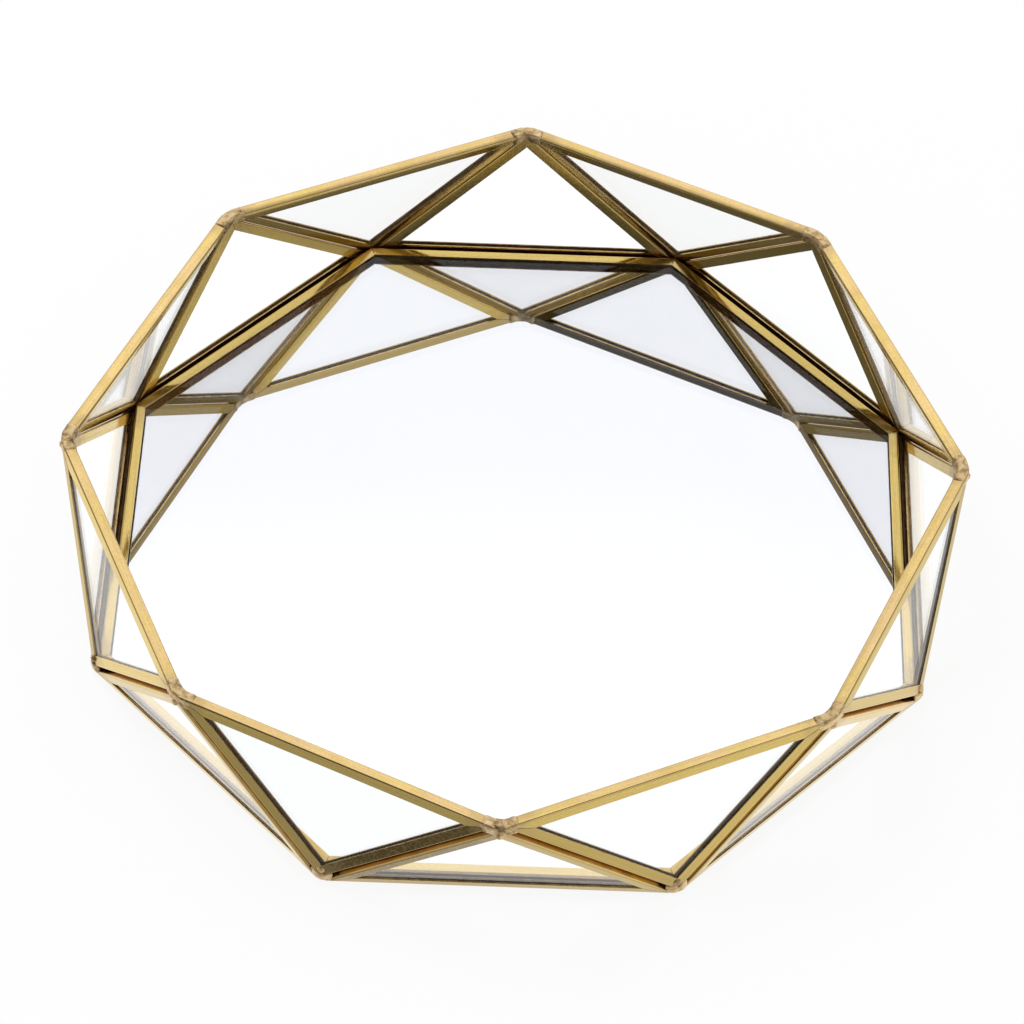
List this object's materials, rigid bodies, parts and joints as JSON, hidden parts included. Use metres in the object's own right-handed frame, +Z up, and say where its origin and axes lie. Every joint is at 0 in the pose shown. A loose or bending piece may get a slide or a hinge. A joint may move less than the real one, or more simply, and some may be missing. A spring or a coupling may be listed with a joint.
{
  "type": "vanity tray",
  "caption": "Octagonal dresser tray: framed mirror base inside a faceted wall of clear glass triangles, each edged with folded brass channel and soldered at the corners.",
  "frame": {"origin": "under the middle of the tray, on the surface it stands on", "axes": "+Z up; +X and +Y each run from the middle to a corner of the rim"},
  "size_m": [0.2574, 0.2574, 0.0454],
  "materials": {
    "brass": "bright, lightly brushed sheet brass",
    "solder": "dull, brassed over solder",
    "clear_glass": "clear polished sheet",
    "silvering": "silvered back of the mirror",
    "felt": "short-pile felt"
  },
  "bodies": {
    "root": {"rim_channel_1": "brass", "rim_channel_2": "brass", "rim_channel_3": "brass", "rim_channel_4": "brass", "rim_channel_5": "brass", "rim_channel_6": "brass", "rim_channel_7": "brass", "rim_channel_8": "brass", "base_channel_1": "brass", "base_channel_2": "brass", "base_channel_3": "brass", "base_channel_4": "brass", "base_channel_5": "brass", "base_channel_6": "brass", "base_channel_7": "brass", "base_channel_8": "brass", "rim_glass_1": "clear_glass", "rim_glass_2": "clear_glass", "rim_glass_3": "clear_glass", "rim_glass_4": "clear_glass", "rim_glass_5": "clear_glass", "rim_glass_6": "clear_glass", "rim_glass_7": "clear_glass", "rim_glass_8": "clear_glass", "base_glass_1": "clear_glass", "base_glass_2": "clear_glass", "base_glass_3": "clear_glass", "base_glass_4": "clear_glass", "base_glass_5": "clear_glass", "base_glass_6": "clear_glass", "base_glass_7": "clear_glass", "base_glass_8": "clear_glass", "rim_solder_1": "solder", "rim_solder_2": "solder", "rim_solder_3": "solder", "rim_solder_4": "solder", "rim_solder_5": "solder", "rim_solder_6": "solder", "rim_solder_7": "solder", "rim_solder_8": "solder", "base_solder_1": "solder", "base_solder_2": "solder", "base_solder_3": "solder", "base_solder_4": "solder", "base_solder_5": "solder", "base_solder_6": "solder", "base_solder_7": "solder", "base_solder_8": "solder", "mirror_channel": "brass", "mirror_glass": "clear_glass", "mirror_silvering": "silvering", "base_felt": "felt"}
  },
  "joints": []
}
